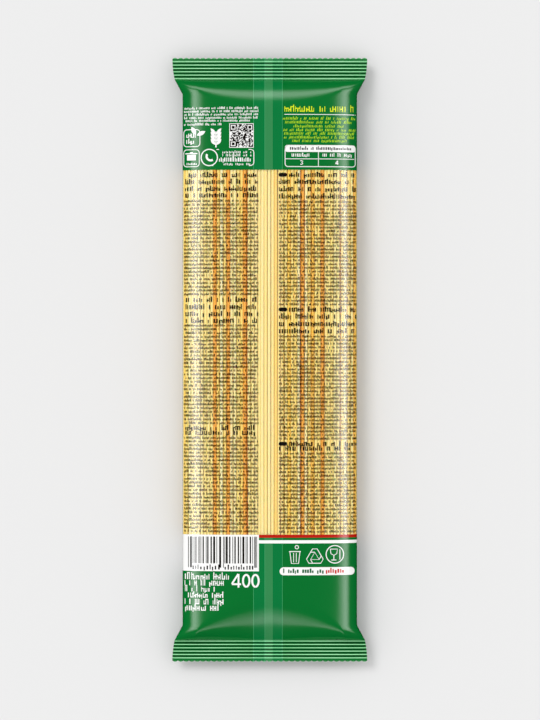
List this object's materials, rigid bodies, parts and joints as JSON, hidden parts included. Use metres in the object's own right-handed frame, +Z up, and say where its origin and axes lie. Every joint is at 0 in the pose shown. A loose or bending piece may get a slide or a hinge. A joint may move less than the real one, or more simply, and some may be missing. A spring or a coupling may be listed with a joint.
{
  "type": "pasta packet",
  "caption": "Pillow bag of film round a bundle of thin spaghetti, with ribbed crimped ends and a seam along its back.",
  "frame": {"origin": "on the table, under the middle of the packet as it lies on its front", "axes": "+X across the packet, +Y along the strands, +Z up through the back seam"},
  "size_m": [0.0936, 0.29, 0.02],
  "materials": {
    "film": "glossy printed packaging film",
    "pasta": "dry durum pasta, smooth and slightly translucent",
    "print": "white, yellow, red and black ink under gloss"
  },
  "bodies": {
    "root": {"pasta_packet": "film"}
  },
  "joints": []
}
